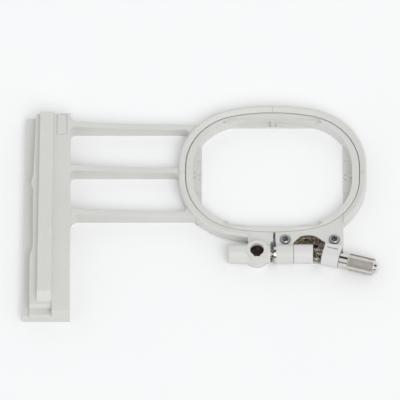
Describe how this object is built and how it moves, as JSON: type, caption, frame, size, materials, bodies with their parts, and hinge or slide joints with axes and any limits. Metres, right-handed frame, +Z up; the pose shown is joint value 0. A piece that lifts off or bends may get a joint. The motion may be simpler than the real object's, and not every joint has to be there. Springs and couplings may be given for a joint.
{
  "type": "machine embroidery hoop",
  "caption": "Small oval embroidery hoop on arms from a carriage bar, with a lift-out inner frame and an angled knurled clamp knob.",
  "frame": {"origin": "centre of the sewing field, on the plane of the table that the hoop lies on", "axes": "+Z up out of the hoop, +X away from the carriage bar along the hoop's long side, +Y away from the clamp screw"},
  "size_m": [0.1995, 0.1349, 0.014],
  "materials": {
    "frame_plastic": "fine matt",
    "inner_plastic": "fine matt",
    "cover_plastic": "fine matt",
    "dark_steel": "dark oxide",
    "steel": "plain",
    "bright_steel": "polished",
    "nickel": "polished",
    "knurled_nickel": "fine knurl"
  },
  "bodies": {
    "frame": {"outer_frame": "frame_plastic", "barrel_nut": "dark_steel", "guide_bush": "steel", "thrust_washer": "bright_steel", "screw_cover": "cover_plastic", "bracket_plate": "dark_steel", "knob_bracket": "cover_plastic", "knob_bush": "steel", "cover_screws": "bright_steel"},
    "inner_ring": {"inner_frame": "inner_plastic"},
    "screw": {"clamp_screw": "steel", "retaining_clip": "bright_steel", "screw_yoke": "steel", "screw_yoke_pin": "steel", "cross_block": "steel", "cross_pin": "bright_steel"},
    "knob": {"knob_spindle": "nickel", "knurled_sleeve": "knurled_nickel", "knob_yoke": "steel", "knob_yoke_pin": "steel", "fork_pins": "bright_steel"}
  },
  "joints": [
    {"name": "inner_lift", "type": "slide", "parent": "frame", "child": "inner_ring", "axis": [0, 0, 1], "range_m": [0, 0.012]},
    {"name": "knob_turn", "type": "hinge", "parent": "frame", "child": "knob", "pos_m": [0.0245, -0.0515, 0.0054], "axis": [0.9659, -0.2588, 0], "continuous": true},
    {"name": "screw_turn", "type": "hinge", "parent": "frame", "child": "screw", "pos_m": [0, -0.0515, 0.0054], "axis": [1, 0, 0], "continuous": true}
  ],
  "couplings": [
    {"joint": "screw_turn", "follows": "knob_turn", "ratio": 1}
  ]
}
